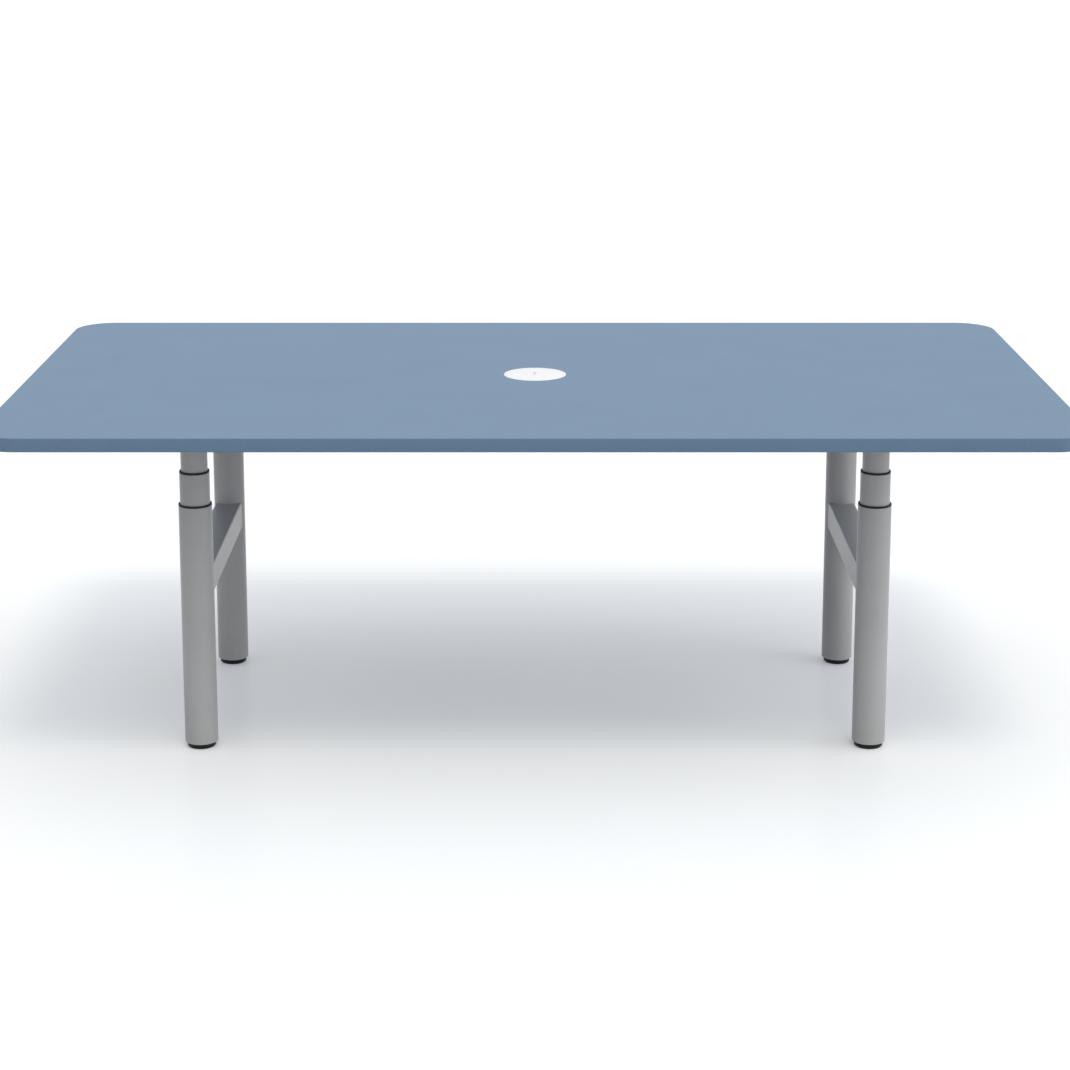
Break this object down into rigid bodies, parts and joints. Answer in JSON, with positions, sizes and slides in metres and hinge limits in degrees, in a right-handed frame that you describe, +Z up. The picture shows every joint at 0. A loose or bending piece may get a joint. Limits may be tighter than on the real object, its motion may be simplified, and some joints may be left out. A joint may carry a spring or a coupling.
{
  "type": "height-adjustable meeting table",
  "caption": "Long meeting table with rounded corners on telescopic round columns; a motor drive raises and lowers the top, and a round cable port sits in its middle.",
  "frame": {"origin": "on the floor under the middle of the top", "axes": "+X along the long side, +Y from the front edge to the rear edge, +Z up"},
  "size_m": [2.2, 1.2, 0.7555],
  "materials": {
    "blue_laminate": "matt laminate",
    "blue_edging": "matt",
    "white_plastic": "fine matt",
    "knob_aluminium": "satin",
    "grey_column": "satin powder coat",
    "black_plastic": "matt",
    "grey_frame": "powder coat",
    "cast_aluminium": "as cast",
    "screw_steel": "bright",
    "motor_steel": "satin",
    "slide_plastic": "matt",
    "zinc_steel": "zinc plated",
    "dark_plastic": "fine texture",
    "button_plastic": "satin"
  },
  "bodies": {
    "base": {"outer_tube_front_left": "grey_column", "outer_tube_front_right": "grey_column", "outer_tube_rear_left": "grey_column", "outer_tube_rear_right": "grey_column", "outer_guide_ring_front_left": "black_plastic", "outer_guide_ring_front_right": "black_plastic", "outer_guide_ring_rear_left": "black_plastic", "outer_guide_ring_rear_right": "black_plastic", "base_drive_pipes": "cast_aluminium", "crossbar_left": "grey_column", "crossbar_right": "grey_column"},
    "top": {"tabletop": "blue_laminate", "edge_band": "blue_edging", "port_collar": "white_plastic", "inner_tube_front_left": "grey_column", "inner_tube_front_right": "grey_column", "inner_tube_rear_left": "grey_column", "inner_tube_rear_right": "grey_column", "column_head_front_left": "cast_aluminium", "column_head_front_right": "cast_aluminium", "column_head_rear_left": "cast_aluminium", "column_head_rear_right": "cast_aluminium", "inner_end_bushes": "slide_plastic", "gear_motors": "motor_steel", "support_rail_left": "grey_frame", "support_rail_right": "grey_frame", "long_beam_front": "grey_frame", "long_beam_rear": "grey_frame", "frame_bolts": "zinc_steel", "tabletop_screws": "zinc_steel", "control_box": "dark_plastic", "handset_body": "dark_plastic"},
    "lid": {"port_lid": "white_plastic", "port_lid_knob": "knob_aluminium"},
    "up_button": {"up_button": "button_plastic"},
    "down_button": {"down_button": "button_plastic"},
    "middle_front_left": {"middle_tube_front_left": "grey_column", "middle_guide_ring_front_left": "black_plastic", "middle_drive_pipe_front_left": "cast_aluminium"},
    "upper_spindle_front_left": {"upper_spindle_front_left": "screw_steel"},
    "lower_spindle_front_left": {"lower_spindle_front_left": "screw_steel"},
    "foot_front_left": {"foot_front_left": "black_plastic"},
    "middle_front_right": {"middle_tube_front_right": "grey_column", "middle_guide_ring_front_right": "black_plastic", "middle_drive_pipe_front_right": "cast_aluminium"},
    "upper_spindle_front_right": {"upper_spindle_front_right": "screw_steel"},
    "lower_spindle_front_right": {"lower_spindle_front_right": "screw_steel"},
    "foot_front_right": {"foot_front_right": "black_plastic"},
    "middle_rear_left": {"middle_tube_rear_left": "grey_column", "middle_guide_ring_rear_left": "black_plastic", "middle_drive_pipe_rear_left": "cast_aluminium"},
    "upper_spindle_rear_left": {"upper_spindle_rear_left": "screw_steel"},
    "lower_spindle_rear_left": {"lower_spindle_rear_left": "screw_steel"},
    "foot_rear_left": {"foot_rear_left": "black_plastic"},
    "middle_rear_right": {"middle_tube_rear_right": "grey_column", "middle_guide_ring_rear_right": "black_plastic", "middle_drive_pipe_rear_right": "cast_aluminium"},
    "upper_spindle_rear_right": {"upper_spindle_rear_right": "screw_steel"},
    "lower_spindle_rear_right": {"lower_spindle_rear_right": "screw_steel"},
    "foot_rear_right": {"foot_rear_right": "black_plastic"}
  },
  "joints": [
    {"name": "lift", "type": "slide", "parent": "base", "child": "top", "axis": [0, 0, 1], "range_m": [-0.1, 0.55]},
    {"name": "lid_lift", "type": "slide", "parent": "top", "child": "lid", "axis": [0, 0, 1], "range_m": [0, 0.06]},
    {"name": "up_button_press", "type": "slide", "parent": "top", "child": "up_button", "axis": [0, -1, 0], "range_m": [0, 0.0012], "stiffness_N_per_m": 900, "springref_m": -0.0015},
    {"name": "down_button_press", "type": "slide", "parent": "top", "child": "down_button", "axis": [0, -1, 0], "range_m": [0, 0.0012], "stiffness_N_per_m": 900, "springref_m": -0.0015},
    {"name": "middle_front_left_slide", "type": "slide", "parent": "base", "child": "middle_front_left", "axis": [0, 0, 1], "range_m": [-0.05, 0.275]},
    {"name": "upper_spindle_front_left_spin", "type": "hinge", "parent": "top", "child": "upper_spindle_front_left", "pos_m": [-0.711, -0.2765, 0.3], "axis": [0, 0, 1], "range_deg": [-1810, 9910]},
    {"name": "lower_spindle_front_left_spin", "type": "hinge", "parent": "middle_front_left", "child": "lower_spindle_front_left", "pos_m": [-0.711, -0.2765, 0.3], "axis": [0, 0, 1], "range_deg": [-1810, 9910]},
    {"name": "foot_front_left_level", "type": "slide", "parent": "base", "child": "foot_front_left", "axis": [0, 0, -1], "range_m": [0, 0.01]},
    {"name": "middle_front_right_slide", "type": "slide", "parent": "base", "child": "middle_front_right", "axis": [0, 0, 1], "range_m": [-0.05, 0.275]},
    {"name": "upper_spindle_front_right_spin", "type": "hinge", "parent": "top", "child": "upper_spindle_front_right", "pos_m": [0.711, -0.2765, 0.3], "axis": [0, 0, 1], "range_deg": [-1810, 9910]},
    {"name": "lower_spindle_front_right_spin", "type": "hinge", "parent": "middle_front_right", "child": "lower_spindle_front_right", "pos_m": [0.711, -0.2765, 0.3], "axis": [0, 0, 1], "range_deg": [-1810, 9910]},
    {"name": "foot_front_right_level", "type": "slide", "parent": "base", "child": "foot_front_right", "axis": [0, 0, -1], "range_m": [0, 0.01]},
    {"name": "middle_rear_left_slide", "type": "slide", "parent": "base", "child": "middle_rear_left", "axis": [0, 0, 1], "range_m": [-0.05, 0.275]},
    {"name": "upper_spindle_rear_left_spin", "type": "hinge", "parent": "top", "child": "upper_spindle_rear_left", "pos_m": [-0.711, 0.2765, 0.3], "axis": [0, 0, 1], "range_deg": [-1810, 9910]},
    {"name": "lower_spindle_rear_left_spin", "type": "hinge", "parent": "middle_rear_left", "child": "lower_spindle_rear_left", "pos_m": [-0.711, 0.2765, 0.3], "axis": [0, 0, 1], "range_deg": [-1810, 9910]},
    {"name": "foot_rear_left_level", "type": "slide", "parent": "base", "child": "foot_rear_left", "axis": [0, 0, -1], "range_m": [0, 0.01]},
    {"name": "middle_rear_right_slide", "type": "slide", "parent": "base", "child": "middle_rear_right", "axis": [0, 0, 1], "range_m": [-0.05, 0.275]},
    {"name": "upper_spindle_rear_right_spin", "type": "hinge", "parent": "top", "child": "upper_spindle_rear_right", "pos_m": [0.711, 0.2765, 0.3], "axis": [0, 0, 1], "range_deg": [-1810, 9910]},
    {"name": "lower_spindle_rear_right_spin", "type": "hinge", "parent": "middle_rear_right", "child": "lower_spindle_rear_right", "pos_m": [0.711, 0.2765, 0.3], "axis": [0, 0, 1], "range_deg": [-1810, 9910]},
    {"name": "foot_rear_right_level", "type": "slide", "parent": "base", "child": "foot_rear_right", "axis": [0, 0, -1], "range_m": [0, 0.01]}
  ],
  "couplings": [
    {"joint": "middle_front_left_slide", "follows": "lift", "ratio": 0.5},
    {"joint": "upper_spindle_front_left_spin", "follows": "lift", "rad_per_m": 314.16},
    {"joint": "lower_spindle_front_left_spin", "follows": "lift", "rad_per_m": 314.16},
    {"joint": "middle_front_right_slide", "follows": "lift", "ratio": 0.5},
    {"joint": "upper_spindle_front_right_spin", "follows": "lift", "rad_per_m": 314.16},
    {"joint": "lower_spindle_front_right_spin", "follows": "lift", "rad_per_m": 314.16},
    {"joint": "middle_rear_left_slide", "follows": "lift", "ratio": 0.5},
    {"joint": "upper_spindle_rear_left_spin", "follows": "lift", "rad_per_m": 314.16},
    {"joint": "lower_spindle_rear_left_spin", "follows": "lift", "rad_per_m": 314.16},
    {"joint": "middle_rear_right_slide", "follows": "lift", "ratio": 0.5},
    {"joint": "upper_spindle_rear_right_spin", "follows": "lift", "rad_per_m": 314.16},
    {"joint": "lower_spindle_rear_right_spin", "follows": "lift", "rad_per_m": 314.16}
  ]
}
